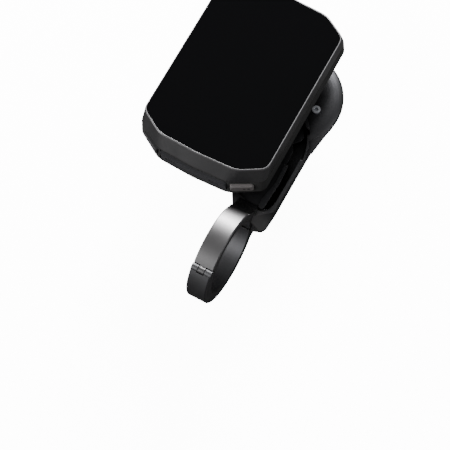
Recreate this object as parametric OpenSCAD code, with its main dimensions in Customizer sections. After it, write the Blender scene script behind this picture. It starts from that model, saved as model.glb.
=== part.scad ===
// Cycling computer locked in its out-front bar mount.
// +X runs along the handlebar to the rider's right, +Y points forward, +Z up.
// The origin is the middle of the clamp's bore, on the axis of the handlebar.

/* [Bar clamp] */
// Radius of the round handlebar that the clamp closes on
bar_r = 15.9; // [15.4:0.1:16.2]
// Width of the clamp along the bar
clamp_w = 8.7; // [8:0.1:10]
// Outer radius of the fixed upper half of the clamp
ring_r = 19.2; // [18.9:0.1:19.6]
// Outer radius of the hinged strap that closes the clamp from below
strap_r = 20.8; // [20.4:0.1:21.2]
// Angle of the strap's hinge round the bar, from +Y through +Z
hinge_angle = 134; // [130:1:138]
// Distance from the bar's axis to the hinge pin
hinge_reach = 19; // [18.8:0.1:19.2]
// Radius of the hinge knuckles
knuckle_r = 1.7; // [1.6:0.05:1.75]
// Radius of the hinge pin
hinge_pin_r = 0.8; // [0.6:0.05:0.9]
// Width of the knuckle on the fixed half, between the strap's two
tongue_w = 2.6; // [2.2:0.1:3.2]
// Slope of the clamp's split below the horizontal
split_tilt = 33.2; // [31:0.2:35]
// Distance from the hinge pin to the clamp screw, along the split
screw_reach = 46.9; // [46:0.1:48]
// Gap between the two halves at the screw
clamp_gap = 1; // [0.6:0.1:1.4]
// Thread radius of the clamp screw
clamp_screw_r = 2; // [1.8:0.1:2.2]

/* [Arm and head] */
// Height of the rails' top faces above the bar's axis
rail_top = 1.6; // [1:0.1:1.8]
// Height of the head's floor
head_floor = -2.6; // [-2.8:0.1:-2.4]
// Height of the arm's underside
arm_bottom = -7; // [-8:0.1:-6.5]
// Radius of the round lobe at the head's right end
lobe_r = 22; // [21.5:0.1:22.5]
// Centre of that lobe to the right of the clamp
lobe_x = -8.3; // [-8.8:0.1:-7.8]
// Centre of that lobe ahead of the bar
lobe_y = 74.3; // [73.8:0.1:74.8]
// Height of the flat ledge between the outer rail and the lobe
ledge_z = -4.2; // [-4.6:0.1:-3.8]
// Radius of the curve along the inside of the outer rail
rail_curve_r = 23; // [22.5:0.1:23.5]
// Thickness of the outer rail
rail_w = 1.3; // [1.2:0.1:1.5]
// Height of the floor of the slit and the window
slit_floor = -5.6; // [-5.8:0.1:-5]

/* [Quarter-turn lock] */
// Centre of the lock to the right of the clamp
lock_x = -24.4; // [-25:0.1:-24]
// Centre of the lock ahead of the bar
lock_y = 63.9; // [63:0.1:65]
// Radius of the round boss on the back of the computer
boss_r = 11.6; // [11:0.1:12]
// Radius to the tips of the two locking tabs
tab_r = 14.8; // [14.4:0.1:15]
// Thickness of the locking tabs
tab_t = 1.8; // [1.5:0.1:1.9]
// Half of the angle that each tab covers
tab_half = 30; // [26:1:34]
// Half of the angle of each gap that a tab enters by
entry_half = 36; // [34:1:38]
// Outer radius of the socket's body
socket_r = 18.2; // [18:0.1:18.6]

/* [Computer case] */
// Overall width
case_w = 57.8; // [57.4:0.1:58.2]
// Height of the glass above the bar's axis
glass_z = 19.7; // [19.6:0.1:19.9]
// Height of the seam between the front frame and the rear case
seam_z = 13.6; // [13.2:0.1:14]
// Height of the case's widest line
belt_z = 7; // [6.8:0.1:7.2]
// Height of the case's flat back
back_z = 2.7; // [2.6:0.05:2.8]
// Wall thickness of the frame and the case
wall_t = 1.8; // [1.6:0.1:2]
// Width of the cover glass
glass_w = 55.2; // [55:0.1:55.4]
// Thickness of the cover glass
glass_t = 1.1; // [0.9:0.1:1.2]

/* [Buttons and port cover] */
// Length of the lap and start buttons along the chamfer
key_w = 9.6; // [9:0.1:10]
// Height of the lap and start buttons
key_h = 4.4; // [4:0.1:4.6]
// Travel of the buttons
key_travel = 0.7; // [0.5:0.1:0.8]
// Length of the rubber cover over the port
cover_w = 30.4; // [30:0.1:30.6]
// Height of the port cover
cover_h = 4.8; // [4.4:0.1:5]

/* [Hidden] */
$fn = 64;
// Clearance between pieces that move past each other
free_gap = 0.3;
// Clearance of a shaft in its bearing
run_gap = 0.06;

// ---- Places on the clamp, as [y, z] ----
hinge_at = hinge_reach * [cos(hinge_angle), sin(hinge_angle)];
split_dir = [cos(split_tilt), -sin(split_tilt)];
split_up = [sin(split_tilt), cos(split_tilt)];
// A point q along the split from the hinge pin, and rise above it on the arm's side
function split_point(q, rise) = hinge_at + q * split_dir + rise * split_up;

// ---- Places on the computer, in its own plan with the lock at [0, 0] ----
half_w = case_w / 2;
// Each level of the case: height, half width, then for the rear and the front end
// the reach, the half width of the end edge and the depth of its corner chamfers
rim_level = [glass_z - 0.2, half_w - 0.7, [36.9, 17.6, 6.1], [39.7, 17.6, 6.1]];
seam_level = [seam_z, half_w - 0.2, [40.8, 15.9, 6.8], [41.6, 16.2, 6.8]];
belt_level = [belt_z, half_w, [42.7, 16.1, 7.6], [42.4, 16.4, 7.4]];
back_level = [back_z, half_w - 3.2, [39, 14.8, 6.8], [39, 14.8, 6.8]];
glass_level = [glass_z - glass_t, glass_w / 2, [36.1, 17.3, 5.9], [38.9, 17.3, 5.9]];
end_bow = 0.7;
// The flat on the rear corner chamfers that carries a button
key_z = 10.3;
key_tilt = 29.5;
key_mid = [20.8, -38.9];
power_y = 20;
// Heights of the board and of the case's inner floor
board_z = 7.75;
board_t = 1;
floor_z = 5;
// The case screws, left and right of the middle
screw_spots = [for (sx = [-1, 1]) for (y = [-29, 31]) [sx * 21.5, y]];

// A convex outline whose corners are rounded by curves that start a set distance away
function lerp(a, b, t) = a + (b - a) * t;
function corner(p, q, r, cut, steps) = let(
    a = q + (p - q) * min(cut / norm(p - q), 0.45),
    b = q + (r - q) * min(cut / norm(r - q), 0.45))
    [for (i = [0:steps]) lerp(lerp(a, q, i / steps), lerp(q, b, i / steps), i / steps)];
function rounded(pts, cut, steps = 4) = let(n = len(pts))
    [for (i = [0:n - 1]) each corner(pts[(i + n - 1) % n], pts[i], pts[(i + 1) % n], cut, steps)];

// The outline of a level of the case, drawn in by inset all round
function outline(level, inset = 0) = let(
    w = level[1] - inset,
    rear = level[2],
    front = level[3],
    trim = inset * 0.45)
    rounded([
        [-w, -rear[0] + rear[2] + inset * 0.5],
        [-rear[1] + trim, -rear[0] + inset],
        [0, -rear[0] + inset - end_bow],
        [rear[1] - trim, -rear[0] + inset],
        [w, -rear[0] + rear[2] + inset * 0.5],
        [w, front[0] - front[2] - inset * 0.5],
        [front[1] - trim, front[0] - inset],
        [0, front[0] - inset + end_bow],
        [-front[1] + trim, front[0] - inset],
        [-w, front[0] - front[2] - inset * 0.5]], 2.6);

// ---- Helpers ----
// A profile drawn in Y and Z, width wide along X
module side_prism(points, width) {
    translate([-width / 2, 0, 0])
        rotate([90, 0, 90])
            linear_extrude(width)
                polygon(points);
}
// A round bar of length h centred on X through a point [y, z]
module cross_bar(at, r, h) {
    translate([0, at[0], at[1]])
        rotate([0, 90, 0])
            cylinder(r = r, h = h, center = true);
}
// Children drawn along +Z land on the clamp screw's axis, with the split at z = 0
module on_screw_axis() {
    at = split_point(screw_reach, 0);
    translate([0, at[0], at[1]])
        rotate([-split_tilt, 0, 0])
            children();
}
// A barrel on the bar's axis, as wide as the clamp, with its two rims chamfered
module barrel(r) {
    side = clamp_w / 2;
    rotate([0, 90, 0])
        rotate_extrude($fn = 96)
            polygon([[0, -side], [r - 0.4, -side], [r, 0.4 - side], [r, side - 0.4],
                     [r - 0.4, side], [0, side]]);
}
// The computer's own plan frame
module on_lock() {
    translate([lock_x, lock_y, 0])
        children();
}
// A thin slice of the case at one of its levels
module slice(level, inset = 0, at = undef) {
    translate([0, 0, is_undef(at) ? level[0] : at])
        linear_extrude(0.01)
            polygon(outline(level, inset));
}
// Children drawn on X and Z, facing -Y, land on a rear corner chamfer, side -1 or 1
module on_chamfer(side) {
    translate([side * key_mid[0], key_mid[1], key_z])
        rotate([0, 0, side * key_tilt])
            children();
}
module repeat_round(count, r, start = 0) {
    for (i = [0:count - 1])
        rotate([0, 0, start + i * 360 / count])
            translate([r, 0, 0])
                children();
}
// A rounded bar of w by h in X and Z that runs from y = 0 to y = d
module soft_block(w, h, d, cut) {
    corners = [[-w / 2, -h / 2], [w / 2, -h / 2], [w / 2, h / 2], [-w / 2, h / 2]];
    translate([0, d, 0])
        rotate([90, 0, 0])
            linear_extrude(d)
                polygon(rounded(corners, cut));
}

// ---- Bar mount ----
// The two circles of the head with the straight flanks that join them
module head_plan() {
    a = [lobe_x, lobe_y];
    b = [lock_x, lock_y];
    rb = socket_r + 2.1;
    gap = norm(a - b);
    base = atan2(b[1] - a[1], b[0] - a[0]);
    open = acos((lobe_r - rb) / gap);
    translate(a)
        circle(r = lobe_r);
    translate(b)
        circle(r = rb);
    polygon([
        a + lobe_r * [cos(base - open), sin(base - open)],
        a + lobe_r * [cos(base + open), sin(base + open)],
        b + rb * [cos(base + open), sin(base + open)],
        b + rb * [cos(base - open), sin(base - open)]]);
}
// The arm's plate from the clamp to the head, level with the head's floor
module arm_plan() {
    polygon([[-9, 25], [-4.35, 17.5], [4.35, 15], [8.6, 16.4], [10.2, 18.2], [10.8, 25],
             [10.9, 49], [9.2, 57], [5.2, 63.6], [3, 70], [lobe_x, lobe_y], [-21, 46]]);
}
// The stretch of the arm that stands up to the rails' top faces
module rail_plan() {
    polygon([[-9, 25], [-4.35, 17.5], [4.35, 15], [8.6, 16.4], [10.2, 18.2], [10.8, 25],
             [10.9, 49], [9.6, 49], [4.2, 44.4], [-12.2, 46.6], [-21, 46]]);
    // The outer rail curves inwards round the window, under the computer
    difference() {
        translate([9.6 - rail_curve_r, 49])
            circle(r = rail_curve_r + rail_w, $fn = 160);
        translate([9.6 - rail_curve_r, 49])
            circle(r = rail_curve_r, $fn = 160);
        polygon([[-60, 0], [60, 0], [60, 49], [-3, 64.6], [-2, 80], [-60, 80]]);
    }
}
// The shallow recess in the top of the arm, round the inner rail that stands in it
module recess_plan() {
    difference() {
        polygon([[-30, 30], [-8, 25.4], [2, 22.5], [5.2, 22], [7.3, 22.5], [8.8, 24.4], [9.5, 28],
                 [9.6, 44.6], [-30, 50]]);
        polygon([[4, 24], [4.4, 23.3], [5.2, 23], [6, 23.3], [6.5, 24.1], [6.6, 28], [7.1, 36],
                 [6.6, 44.8], [4.9, 44.8], [5.4, 35.3], [3.8, 27]]);
    }
}
// The slit between the rails, the window it opens into and the groove along the curve
module window_plan() {
    polygon([[6.5, 24.1], [7.1, 23.7], [7.9, 24.2], [8.9, 26.6], [9.5, 30], [9.6, 49.2],
             [4.8, 49.2], [4.8, 44.4], [6.6, 44.4], [7.1, 36], [6.6, 28]]);
    intersection() {
        translate([9.6 - rail_curve_r, 49])
            circle(r = rail_curve_r, $fn = 160);
        polygon([[4.8, 49], [12, 49], [12, 66], [3.2, 66.2], [1.9, 65], [4, 62.5], [5.6, 59.7],
                 [5.2, 57.7], [2.7, 55.2], [4.3, 52.6]]);
    }
}
module lobe_dome() {
    edge = [for (i = [0:8]) [lobe_r - 7 + 7 * sin(i * 11.25), head_floor - 2.6 + 2.6 * cos(i * 11.25)]];
    translate([lobe_x, lobe_y, 0])
        rotate_extrude($fn = 96)
            polygon(concat([[0, arm_bottom], [0, head_floor]], edge,
                           [[lobe_r, arm_bottom + 1.2], [lobe_r - 1.2, arm_bottom]]));
}
// The ledge on the right flank, from the outer rail to the lobe
module ledge_plan() {
    polygon([[8, 48], [10.9, 48], [11.1, 57.3], [12.2, 65.5], [13.2, 70.5], [4, 72], [2, 60]]);
}
// The sloped shoulder where the rider's end of the arm drops to its lower corner
module shoulder_cut() {
    translate([7, 21, rail_top])
        rotate([0, 0, -50])
            rotate([0, 55, 0])
                translate([0, -20, 0])
                    cube([20, 40, 14]);
}
module mount_arm() {
    color([0.2, 0.2, 0.21])
    difference() {
        union() {
            // Fixed half of the clamp
            intersection() {
                barrel(ring_r);
                side_prism([split_point(-12, 0.2), split_point(60, 0.2), split_point(60, 60),
                            split_point(-12, 60)], clamp_w + 2);
            }
            // Gusset from the ring down to the arm
            side_prism([[10, 12], [16.4, 10], [18.4, 6.4], [20.6, 3.4], [23.4, rail_top],
                        [23.4, arm_bottom + 1], [14, -4]], clamp_w);
            // Knuckle between the strap's two
            cross_bar(hinge_at, knuckle_r, tongue_w);
            // Boss that takes the clamp screw
            side_prism([split_point(30, 0.2), split_point(51.4, 0.2), split_point(51.4, 4),
                        [37, arm_bottom], [37, arm_bottom + 2], [14, 0]], clamp_w);
            difference() {
                union() {
                    translate([0, 0, arm_bottom])
                        linear_extrude(head_floor - arm_bottom)
                            arm_plan();
                    translate([0, 0, arm_bottom])
                        linear_extrude(ledge_z - arm_bottom)
                            ledge_plan();
                    translate([0, 0, arm_bottom])
                        linear_extrude(rail_top - arm_bottom)
                            rail_plan();
                }
                shoulder_cut();
                translate([0, 0, rail_top - 0.9])
                    linear_extrude(2)
                        recess_plan();
                // Chamfer along the underside of the flank
                translate([0, 56.3, 0])
                    rotate([90, 0, 0])
                        linear_extrude(46)
                            polygon([[11.6, -8], [11.6, -4.4], [9, arm_bottom], [8, -8]]);
            }
            intersection() {
                translate([0, 0, arm_bottom])
                    linear_extrude(20)
                        head_plan();
                union() {
                    lobe_dome();
                    translate([lock_x, lock_y, arm_bottom])
                        cylinder(r = socket_r + 2.1, h = head_floor - arm_bottom, $fn = 96);
                    translate([-33, 62, arm_bottom])
                        cube([24, 26, head_floor - 0.8 - arm_bottom]);
                }
            }
        }
        cross_bar([0, 0], bar_r, clamp_w + 0.002);
        for (side = [-1, 1])
            translate([side * (clamp_w + 12) / 2, 0, 0])
                cross_bar([0, 0], bar_r + 0.8, 12);
        // Nothing of the arm stands below the split, where the strap closes
        side_prism([split_point(6, 0.2), split_point(56, 0.2), split_point(56, -30),
                    split_point(6, -30)], clamp_w + 2 * free_gap);
        // Room for the strap's knuckles, and the pin's hole
        for (side = [-1, 1])
            translate([side * (clamp_w + tongue_w + 1) / 4, 0, 0])
                cross_bar(hinge_at, knuckle_r + free_gap, (clamp_w - tongue_w + 1) / 2);
        cross_bar(hinge_at, hinge_pin_r, clamp_w);
        // Pocket of the thread insert
        on_screw_axis()
            translate([0, 0, -1])
                cylinder(r = 3, h = 8.2);
        translate([0, 0, slit_floor])
            linear_extrude(12)
                window_plan();
        // Seat of the bayonet socket, and the holes of its screws
        on_lock() {
            translate([0, 0, head_floor - 1])
                cylinder(r = socket_r + 0.05, h = 10, $fn = 96);
            repeat_round(3, 8.5, 90) {
                translate([0, 0, arm_bottom - 1])
                    cylinder(r = 1.35, h = 10);
                translate([0, 0, arm_bottom - 1])
                    cylinder(r = 2.6, h = 2.6);
            }
            for (turn = [17.6, 52.4])
                rotate([0, 0, turn])
                    translate([30.1, 0, arm_bottom - 1])
                        cylinder(r = 1.2, h = 10);
        }
        // Cored underside of the lobe
        translate([-7, 80, arm_bottom - 0.01])
            linear_extrude(2)
                polygon(rounded([[-12, -4], [3, -14], [9, -7], [6, 5], [-8, 9]], 3));
    }
}
module bayonet_socket() {
    color([0.1, 0.1, 0.1])
    on_lock()
    difference() {
        union() {
            translate([0, 0, head_floor - 1])
                cylinder(r = socket_r, h = 2.4 - head_floor + 1, $fn = 96);
            translate([0, 0, 2])
                cylinder(r = 16.8, h = 1.4, $fn = 96);
        }
        // Cavity that the tabs turn in, and the round mouth above it
        translate([0, 0, -0.2])
            cylinder(r = tab_r + 0.5, h = 2.4, $fn = 96);
        translate([0, 0, -0.2])
            cylinder(r = boss_r + 0.5, h = 6, $fn = 96);
        // Entry gaps at the two sides
        for (turn = [0, 180])
            rotate([0, 0, turn])
                intersection() {
                    translate([0, 0, 0])
                        cylinder(r = tab_r + 0.5, h = 6, $fn = 96);
                    linear_extrude(6)
                        polygon([[0, 0], 30 * [cos(-entry_half), sin(-entry_half)],
                                 30 * [cos(entry_half), sin(entry_half)]]);
                }
        repeat_round(3, 8.5, 90)
            translate([0, 0, head_floor - 2])
                cylinder(r = 1.05, h = 3.5);
    }
}
module socket_screws() {
    color([0.62, 0.62, 0.64])
    on_lock()
    repeat_round(3, 8.5, 90)
    difference() {
        union() {
            translate([0, 0, arm_bottom + 1.6])
                cylinder(r = 1.05, h = 4.2);
            translate([0, 0, arm_bottom + 0.2])
                cylinder(r = 2.2, h = 1.4);
        }
        translate([0, 0, arm_bottom])
            cylinder(r = 1, h = 1.2, $fn = 6);
    }
}
module bracket_screws() {
    color([0.45, 0.46, 0.5])
    on_lock()
    for (turn = [17.6, 52.4])
        rotate([0, 0, turn])
            translate([30.1, 0, 0])
                difference() {
                    union() {
                        translate([0, 0, arm_bottom + 2.2])
                            cylinder(r = 1.2, h = head_floor - arm_bottom - 2.2);
                        translate([0, 0, head_floor])
                            cylinder(r = 1.7, h = 0.9);
                    }
                    translate([0, 0, head_floor + 0.2])
                        cylinder(r = 0.9, h = 2, $fn = 6);
                }
}
module hinge_pin() {
    color([0.6, 0.6, 0.62])
    cross_bar(hinge_at, hinge_pin_r, clamp_w - 0.4);
}
module thread_insert() {
    color([0.72, 0.6, 0.32])
    on_screw_axis()
    translate([0, 0, 0.6])
        difference() {
            cylinder(r = 3, h = 6.6);
            translate([0, 0, -1])
                cylinder(r = clamp_screw_r + 0.4, h = 9);
        }
}
module clamp_strap() {
    color([0.17, 0.17, 0.18])
    difference() {
        union() {
            intersection() {
                barrel(strap_r);
                side_prism([split_point(-6, -0.2), split_point(24, -0.2), split_point(26, -clamp_gap),
                            split_point(60, -clamp_gap), split_point(60, -50), split_point(-30, -50),
                            split_point(-30, -0.2)], clamp_w + 2);
            }
            // The strap's two knuckles
            for (side = [-1, 1])
                translate([side * (clamp_w + tongue_w + 2 * free_gap) / 4, 0, 0])
                    cross_bar(hinge_at, knuckle_r, (clamp_w - tongue_w - 2 * free_gap) / 2);
            // Lug under the arm, rounded off about the screw
            intersection() {
                side_prism([split_point(30, -clamp_gap), split_point(54, -clamp_gap),
                            split_point(54, -clamp_gap - 5), split_point(42, -clamp_gap - 5),
                            split_point(34, -clamp_gap - 9)], clamp_w);
                union() {
                    on_screw_axis()
                        cylinder(r = clamp_w * 0.6, h = 40, center = true);
                    side_prism([split_point(10, 10), split_point(screw_reach, 10),
                                split_point(screw_reach, -30), split_point(10, -30)], clamp_w);
                }
            }
        }
        cross_bar([0, 0], bar_r, 60);
        // Room for the fixed knuckle, and the bearing hole on the pin
        cross_bar(hinge_at, knuckle_r + free_gap, tongue_w + 2 * free_gap);
        cross_bar(hinge_at, hinge_pin_r + run_gap, 40);
        on_screw_axis()
            cylinder(r = clamp_screw_r + 0.05, h = 40, center = true);
    }
}
module clamp_screw() {
    head_z = -clamp_gap - 5;
    color([0.55, 0.55, 0.57])
    on_screw_axis()
    difference() {
        union() {
            translate([0, 0, head_z])
                cylinder(r = clamp_screw_r, h = 5.2 - head_z);
            translate([0, 0, head_z - 3.6])
                cylinder(r = 3.5, h = 3.6);
        }
        translate([0, 0, head_z - 4])
            cylinder(r = 1.75, h = 2.6, $fn = 6);
    }
}

// ---- Computer: display stack ----
module cover_glass() {
    color([0.02, 0.02, 0.025])
    on_lock()
    translate([0, 0, glass_level[0]])
        linear_extrude(glass_t)
            polygon(outline(glass_level));
}
module glass_gasket() {
    color([0.05, 0.05, 0.05])
    on_lock()
    translate([0, 0, glass_z - glass_t - 0.3])
        linear_extrude(0.3)
            difference() {
                polygon(outline(glass_level, 0.1));
                polygon(outline(glass_level, 1.3));
            }
}
module display_panel() {
    color([0.08, 0.08, 0.1])
    on_lock()
    translate([0, 0, glass_z - glass_t - 1.9])
        linear_extrude(1.6)
            polygon(outline(glass_level, 2.4));
}
module display_flex() {
    low = board_z + board_t;
    high = glass_z - glass_t - 1.9;
    color([0.75, 0.5, 0.15])
    on_lock()
    side_prism([[29, low], [35.4, low], [35.4, high], [29, high], [29, high - 0.2],
                [35.2, high - 0.2], [35.2, low + 0.2], [29, low + 0.2]], 14);
}

// ---- Computer: housing ----
module front_frame() {
    color([0.33, 0.33, 0.34])
    on_lock()
    difference() {
        hull() {
            slice(rim_level, 0.25, rim_level[0] - 0.01);
            slice(rim_level, 0, rim_level[0] - 0.3);
            slice(seam_level, 0, seam_z + 0.12);
        }
        // Seat of the glass, opening over the display and the room below it
        translate([0, 0, glass_z - glass_t])
            linear_extrude(5)
                polygon(outline(glass_level, -0.12));
        translate([0, 0, glass_z - glass_t - 0.3])
            linear_extrude(5)
                polygon(outline(glass_level, 0.1));
        translate([0, 0, seam_z - 1])
            linear_extrude(9)
                polygon(outline(glass_level, 1.3));
        translate([0, 0, seam_z - 1])
            linear_extrude(3.4)
                polygon(outline(seam_level, wall_t));
    }
}
module case_seal() {
    color([0.04, 0.04, 0.04])
    on_lock()
    translate([0, 0, seam_z - 0.12])
        linear_extrude(0.24)
            difference() {
                polygon(outline(seam_level, 0.35));
                polygon(outline(seam_level, wall_t));
            }
}
module rear_case() {
    color([0.13, 0.13, 0.135])
    on_lock()
    difference() {
        hull() {
            slice(seam_level, 0, seam_z - 0.13);
            slice(belt_level);
            slice(back_level);
        }
        // The room inside, kept clear of the port, the screws' posts and the side button
        difference() {
            union() {
                translate([0, 0, floor_z])
                    linear_extrude(20)
                        intersection() {
                            polygon(outline(back_level, 0.6));
                            translate([-40, -34.5])
                                square([80, 100]);
                        }
                translate([0, 0, belt_z + 0.2])
                    linear_extrude(20)
                        intersection() {
                            polygon(outline(seam_level, wall_t));
                            translate([-40, -35.5])
                                square([80, 100]);
                        }
            }
            for (spot = screw_spots)
                translate([spot[0], spot[1], 0])
                    cylinder(r = 2.4, h = 9);
            translate([-40, power_y - 6, 0])
                cube([15.6, 12, 30]);
        }
        // Round recess about the lock, and the holes of its screws
        translate([0, 0, back_z - 1])
            cylinder(r = 17.2, h = 1 + 1.1, $fn = 96);
        repeat_round(4, 7.5, 45)
            translate([0, 0, 2])
                cylinder(r = 0.9, h = 3);
        // Seats of the two chamfer buttons, with the holes of their stems
        for (side = [-1, 1])
            on_chamfer(side) {
                translate([0, -4, 0])
                    soft_block(key_w + 2 * free_gap, key_h + 2 * free_gap, 6.1, 1.6);
                rotate([-90, 0, 0])
                    cylinder(r = 1.2, h = 9);
            }
        // Seat of the power button on the left flank
        translate([-half_w, power_y, key_z])
            rotate([0, 0, -90]) {
                translate([0, -3, 0])
                    soft_block(9 + 2 * free_gap, 3.4 + 2 * free_gap, 4.4, 1.4);
                rotate([-90, 0, 0])
                    cylinder(r = 1.2, h = 6);
            }
        // Seat of the port cover, square where its hinged end turns, and the port behind it
        translate([0, -44, key_z])
            soft_block(cover_w + 2 * free_gap, cover_h + 2 * free_gap, 4.3, 1.6);
        translate([-cover_w / 2 - free_gap, -44, key_z - cover_h / 2 - free_gap])
            cube([3, 4.3, cover_h + 2 * free_gap]);
        translate([0, -44, key_z])
            soft_block(9.2, 3.4, 9, 1.6);
        translate([0, -40, key_z])
            soft_block(12, 4.6, 2, 1.8);
        // Holes of the case screws
        for (spot = screw_spots)
            translate([spot[0], spot[1], 2]) {
                cylinder(r = 0.85, h = 6);
                cylinder(r = 1.9, h = 1.7);
            }
        // Vent hole
        translate([0, 28, 2])
            cylinder(r = 2, h = 4);
    }
}
module case_screws() {
    color([0.35, 0.35, 0.36])
    on_lock()
    for (spot = screw_spots)
        translate([spot[0], spot[1], 0])
            difference() {
                union() {
                    translate([0, 0, back_z + 1])
                        cylinder(r = 0.85, h = 4.2);
                    translate([0, 0, back_z + 0.1])
                        cylinder(r = 1.7, h = 0.9);
                }
                translate([0, 0, back_z])
                    cylinder(r = 0.8, h = 0.7, $fn = 6);
            }
}
module vent_plug() {
    color([0.1, 0.1, 0.1])
    on_lock()
    translate([0, 28, back_z + 0.2])
        difference() {
            cylinder(r = 2, h = 1.4);
            repeat_round(3, 1)
                translate([0, 0, -1])
                    cylinder(r = 0.3, h = 1.6, $fn = 16);
        }
}
module quarter_turn_plate() {
    color([0.09, 0.09, 0.09])
    on_lock()
    difference() {
        union() {
            translate([0, 0, 0.1])
                cylinder(r = boss_r, h = back_z + 1.1 - 0.1, $fn = 96);
            for (turn = [90, 270])
                rotate([0, 0, turn])
                    intersection() {
                        translate([0, 0, 0.1])
                            cylinder(r = tab_r, h = tab_t, $fn = 96);
                        linear_extrude(5)
                            polygon([[0, 0], 30 * [cos(-tab_half), sin(-tab_half)],
                                     30 * [cos(tab_half), sin(tab_half)]]);
                    }
        }
        repeat_round(4, 7.5, 45) {
            cylinder(r = 0.9, h = 9);
            cylinder(r = 1.8, h = 1.4);
        }
        // Shallow dish in the middle of the boss
        cylinder(r = 4.2, h = 0.7);
    }
}
module plate_screws() {
    color([0.6, 0.6, 0.62])
    on_lock()
    repeat_round(4, 7.5, 45)
    difference() {
        union() {
            translate([0, 0, 1.4])
                cylinder(r = 0.9, h = 3.4);
            translate([0, 0, 0.4])
                cylinder(r = 1.7, h = 1);
        }
        cylinder(r = 0.8, h = 1, $fn = 6);
    }
}

// ---- Computer: electronics ----
module main_board() {
    color([0.05, 0.25, 0.12])
    on_lock()
    difference() {
        translate([-21, -34, board_z])
            cube([42, 68, board_t]);
        for (spot = screw_spots)
            translate([spot[0], spot[1], 0])
                cylinder(r = 2.7, h = 20);
    }
}
module rf_shield() {
    color([0.7, 0.7, 0.72])
    on_lock()
    translate([-20, -16, board_z + board_t])
        cube([24, 18, 2]);
}
module battery() {
    color([0.6, 0.6, 0.62])
    on_lock()
    translate([-18.5, -25, floor_z + 0.05])
        cube([37, 48, board_z - floor_z - 0.2]);
}
module gnss_antenna() {
    color([0.8, 0.78, 0.7])
    on_lock()
    translate([-9, 8, board_z + board_t])
        cube([18, 18, 4]);
}
module buzzer() {
    color([0.15, 0.15, 0.15])
    on_lock()
    translate([15, 20, board_z + board_t])
        cylinder(r = 5, h = 1.8);
}
module usb_socket() {
    color([0.65, 0.65, 0.67])
    on_lock()
    translate([0, -39.4, key_z])
        difference() {
            soft_block(8.9, 3.1, 7.3, 1.4);
            translate([0, -1, 0])
                soft_block(8.3, 2.5, 7, 1.2);
        }
}
// A push switch that stands on the board; its plunger points to -Y
module push_switch() {
    low = board_z + board_t - key_z;
    color([0.3, 0.3, 0.31])
    union() {
        translate([-2, 0, low])
            cube([4, 1.6, -2 * low]);
        translate([0, -0.3, 0])
            rotate([-90, 0, 0])
                cylinder(r = 0.8, h = 0.4);
    }
}
module lap_switch() {
    on_lock()
    on_chamfer(-1)
    translate([0, 7.7 + key_travel, 0])
    push_switch();
}
module start_switch() {
    on_lock()
    on_chamfer(1)
    translate([0, 7.7 + key_travel, 0])
    push_switch();
}
module power_switch() {
    on_lock()
    translate([-half_w, power_y, key_z])
    rotate([0, 0, -90])
    translate([0, 5.2 + key_travel, 0])
    push_switch();
}

// ---- Computer: buttons, their seals and the port cover ----
module stem_seal() {
    color([0.06, 0.06, 0.06])
    rotate([-90, 0, 0])
    difference() {
        cylinder(r = 1.2, h = 0.8);
        translate([0, 0, -1])
            cylinder(r = 0.8 + run_gap, h = 3);
    }
}
module lap_seal() {
    on_lock()
    on_chamfer(-1)
    translate([0, 3.4, 0])
    stem_seal();
}
module start_seal() {
    on_lock()
    on_chamfer(1)
    translate([0, 3.4, 0])
    stem_seal();
}
module power_seal() {
    on_lock()
    translate([-half_w, power_y, key_z])
    rotate([0, 0, -90])
    translate([0, 2.4, 0])
    stem_seal();
}
module key_cap(w, h, depth, stem) {
    hull() {
        translate([0, 0.35, 0])
            soft_block(w, h, depth - 0.35, 1.3);
        soft_block(w - 0.8, h - 0.8, depth, 1.1);
    }
    translate([0, depth - 0.5, 0])
        rotate([-90, 0, 0])
            cylinder(r = 0.8, h = stem);
}
module lap_button() {
    color([0.2, 0.2, 0.21])
    on_lock()
    on_chamfer(-1)
    translate([0, -0.9, 0])
    key_cap(key_w, key_h, 2.1, 6.3);
}
module start_button() {
    color([0.45, 0.45, 0.46])
    on_lock()
    on_chamfer(1)
    translate([0, -0.9, 0])
    key_cap(key_w, key_h, 2.1, 6.3);
}
module power_button() {
    color([0.2, 0.2, 0.21])
    on_lock()
    translate([-half_w, power_y, key_z])
    rotate([0, 0, -90])
    translate([0, -0.5, 0])
    key_cap(9, 3.4, 1.1, 4.7);
}
module port_cover() {
    nose_x = 1.15 - cover_w / 2;
    color([0.07, 0.07, 0.07])
    on_lock()
    difference() {
        union() {
            // The face follows the bow of the case's end
            intersection() {
                translate([0, -43, key_z])
                    soft_block(cover_w, cover_h, 3, 1.4);
                translate([0, 0, key_z - 5])
                    linear_extrude(10)
                        polygon([[nose_x, -40], [nose_x, -42.3], [-8, -42.5], [0, -42.6], [8, -42.5],
                                 [cover_w / 2, -42.3], [cover_w / 2, -40]]);
            }
            // Round nose that the cover turns about
            translate([nose_x, -41.15, key_z + 0.4 - cover_h / 2])
                cylinder(r = 1.15, h = cover_h - 0.8);
            translate([0, -40.4, key_z])
                soft_block(8, 2.2, 0.9, 1);
        }
        // Finger recesses near its two ends
        for (side = [-1, 1])
            translate([side * 10, -43.4, key_z])
                soft_block(5, 2, 1.3, 0.9);
    }
}

mount_arm();
bayonet_socket();
socket_screws();
bracket_screws();
hinge_pin();
thread_insert();
clamp_strap();
clamp_screw();
cover_glass();
glass_gasket();
display_panel();
display_flex();
front_frame();
case_seal();
rear_case();
main_board();
rf_shield();
battery();
usb_socket();
gnss_antenna();
buzzer();
lap_switch();
start_switch();
power_switch();
lap_seal();
start_seal();
power_seal();
case_screws();
quarter_turn_plate();
plate_screws();
vent_plug();
lap_button();
start_button();
power_button();
port_cover();
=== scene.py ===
"""Looks of a cycling computer that is locked in its out-front bar mount.

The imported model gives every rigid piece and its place. This script dresses
those pieces, adds the small detail that they carry, and sets up a plain studio.
All lengths are in metres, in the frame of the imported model.
"""

import logging
import math
from dataclasses import dataclass, field
from enum import Enum

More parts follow.
